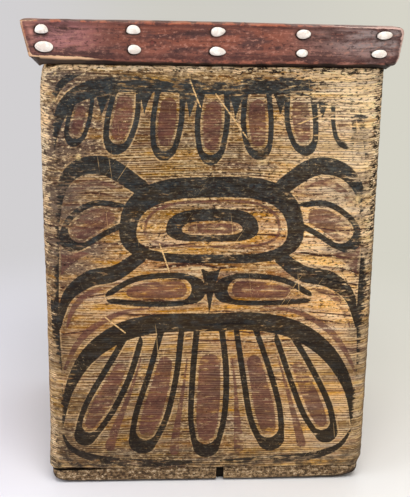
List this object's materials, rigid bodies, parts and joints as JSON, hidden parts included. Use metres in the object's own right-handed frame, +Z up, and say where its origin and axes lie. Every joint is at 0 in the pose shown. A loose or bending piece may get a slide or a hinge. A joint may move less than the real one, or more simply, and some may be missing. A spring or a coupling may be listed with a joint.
{
  "type": "bentwood box",
  "caption": "Tall lidded storage box with walls bent from one kerfed plank, a pegged bottom board and a thick lift-off lid inlaid with shell opercula.",
  "frame": {"origin": "middle of the bottom board's flat underside", "axes": "+Z up, the front with the inlaid shells faces -Y, +X to the right of someone facing the front"},
  "size_m": [0.4375, 0.3861, 0.5775],
  "materials": {
    "plank_wood": "matte",
    "board_wood": "matte",
    "painted_lid": "matte",
    "peg_wood": "matte",
    "shell": "satin"
  },
  "bodies": {
    "box": {"side_plank": "plank_wood", "bottom_board": "board_wood", "corner_peg_1": "peg_wood", "corner_peg_2": "peg_wood", "corner_peg_3": "peg_wood", "corner_peg_4": "peg_wood", "corner_peg_5": "peg_wood", "corner_peg_6": "peg_wood", "corner_peg_7": "peg_wood", "corner_peg_8": "peg_wood", "corner_peg_9": "peg_wood", "front_bottom_peg_1": "peg_wood", "front_bottom_peg_2": "peg_wood", "front_bottom_peg_3": "peg_wood", "front_bottom_peg_4": "peg_wood", "back_bottom_peg_1": "peg_wood", "back_bottom_peg_2": "peg_wood", "back_bottom_peg_3": "peg_wood", "back_bottom_peg_4": "peg_wood", "left_bottom_peg_1": "peg_wood", "left_bottom_peg_2": "peg_wood", "left_bottom_peg_3": "peg_wood", "right_bottom_peg_1": "peg_wood", "right_bottom_peg_2": "peg_wood", "right_bottom_peg_3": "peg_wood"},
    "lid": {"lid": "painted_lid", "upper_operculum_1": "shell", "upper_operculum_2": "shell", "upper_operculum_3": "shell", "upper_operculum_4": "shell", "upper_operculum_5": "shell", "lower_operculum_1": "shell", "lower_operculum_2": "shell", "lower_operculum_3": "shell", "lower_operculum_4": "shell", "lower_operculum_5": "shell"}
  },
  "joints": [
    {"name": "lid_lift", "type": "slide", "parent": "box", "child": "lid", "axis": [0, 0, 1], "range_m": [0, 0.3]}
  ]
}
